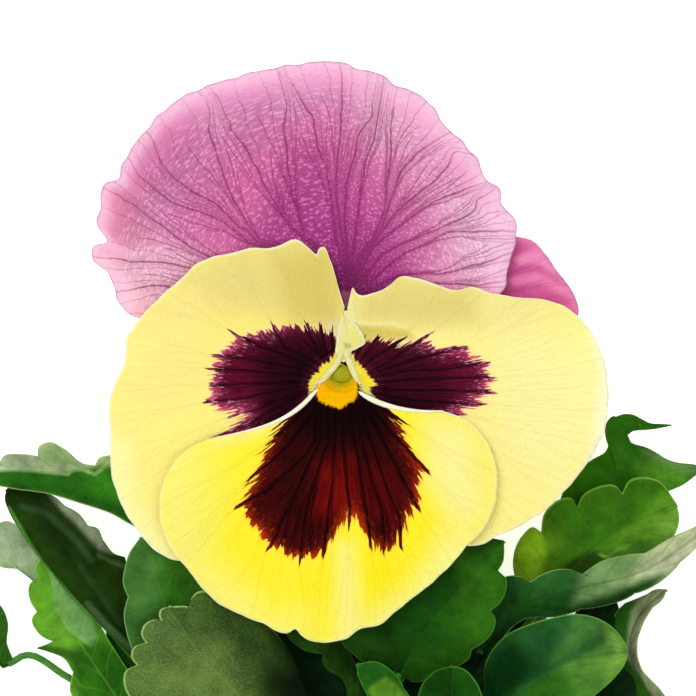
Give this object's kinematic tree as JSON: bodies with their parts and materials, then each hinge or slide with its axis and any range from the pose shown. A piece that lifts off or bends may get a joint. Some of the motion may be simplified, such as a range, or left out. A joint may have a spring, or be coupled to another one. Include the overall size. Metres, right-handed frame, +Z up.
{
  "type": "pansy flower",
  "caption": "Picked pansy lying face up, mauve above and yellow below with dark veined blotches, on a curved stalk with a short leafy shoot",
  "frame": {"origin": "centre of the bounding box at its base, on the table that the sprig lies on", "axes": "+Z up, out of the face of the bloom; +Y from the cut end of the shoot to the top of the bloom; +X to the right as the bloom is looked at"},
  "size_m": [0.1074, 0.1366, 0.0184],
  "materials": {
    "petal_rose": "soft satin petal, rose",
    "petal_mauve": "soft satin petal, mauve with dark veins",
    "petal_side": "soft satin petal, lemon with a purple blotch",
    "petal_lower": "soft satin petal, yellow with a dark red blotch",
    "calyx": "matt green",
    "pistil": "waxy yellow green",
    "stamens": "matt orange",
    "stem": "smooth green stem",
    "leaf_dark": "satin leaf, dark green",
    "leaf_mid": "satin leaf, green",
    "leaf_bright": "satin leaf, bright green",
    "leaf_downy": "downy leaf, grey green",
    "leaf_pale_back": "satin leaf, green with a pale back"
  },
  "bodies": {
    "root": {"petal_upper_right": "petal_rose", "petal_upper_left": "petal_mauve", "petal_side_right": "petal_side", "petal_side_left": "petal_side", "petal_lower": "petal_lower", "calyx": "calyx", "pistil": "pistil", "stamens": "stamens", "flower_stalk": "stem", "leafy_shoot": "stem", "leaf_far_left": "leaf_pale_back", "leaf_left_long": "leaf_dark", "leaf_left_low": "leaf_pale_back", "leaf_left_bright": "leaf_bright", "leaf_low_left": "leaf_mid", "leaf_mid_left": "leaf_mid", "leaf_front_left": "leaf_downy", "leaf_mid_dark": "leaf_dark", "leaf_front_right": "leaf_mid", "leaf_bud_bright": "leaf_bright", "leaf_bud_round": "leaf_mid", "leaf_oval": "leaf_dark", "leaf_right_long": "leaf_pale_back", "leaf_right_broad": "leaf_bright", "leaf_far_right": "leaf_mid", "leaf_right_narrow": "leaf_pale_back"}
  },
  "joints": []
}
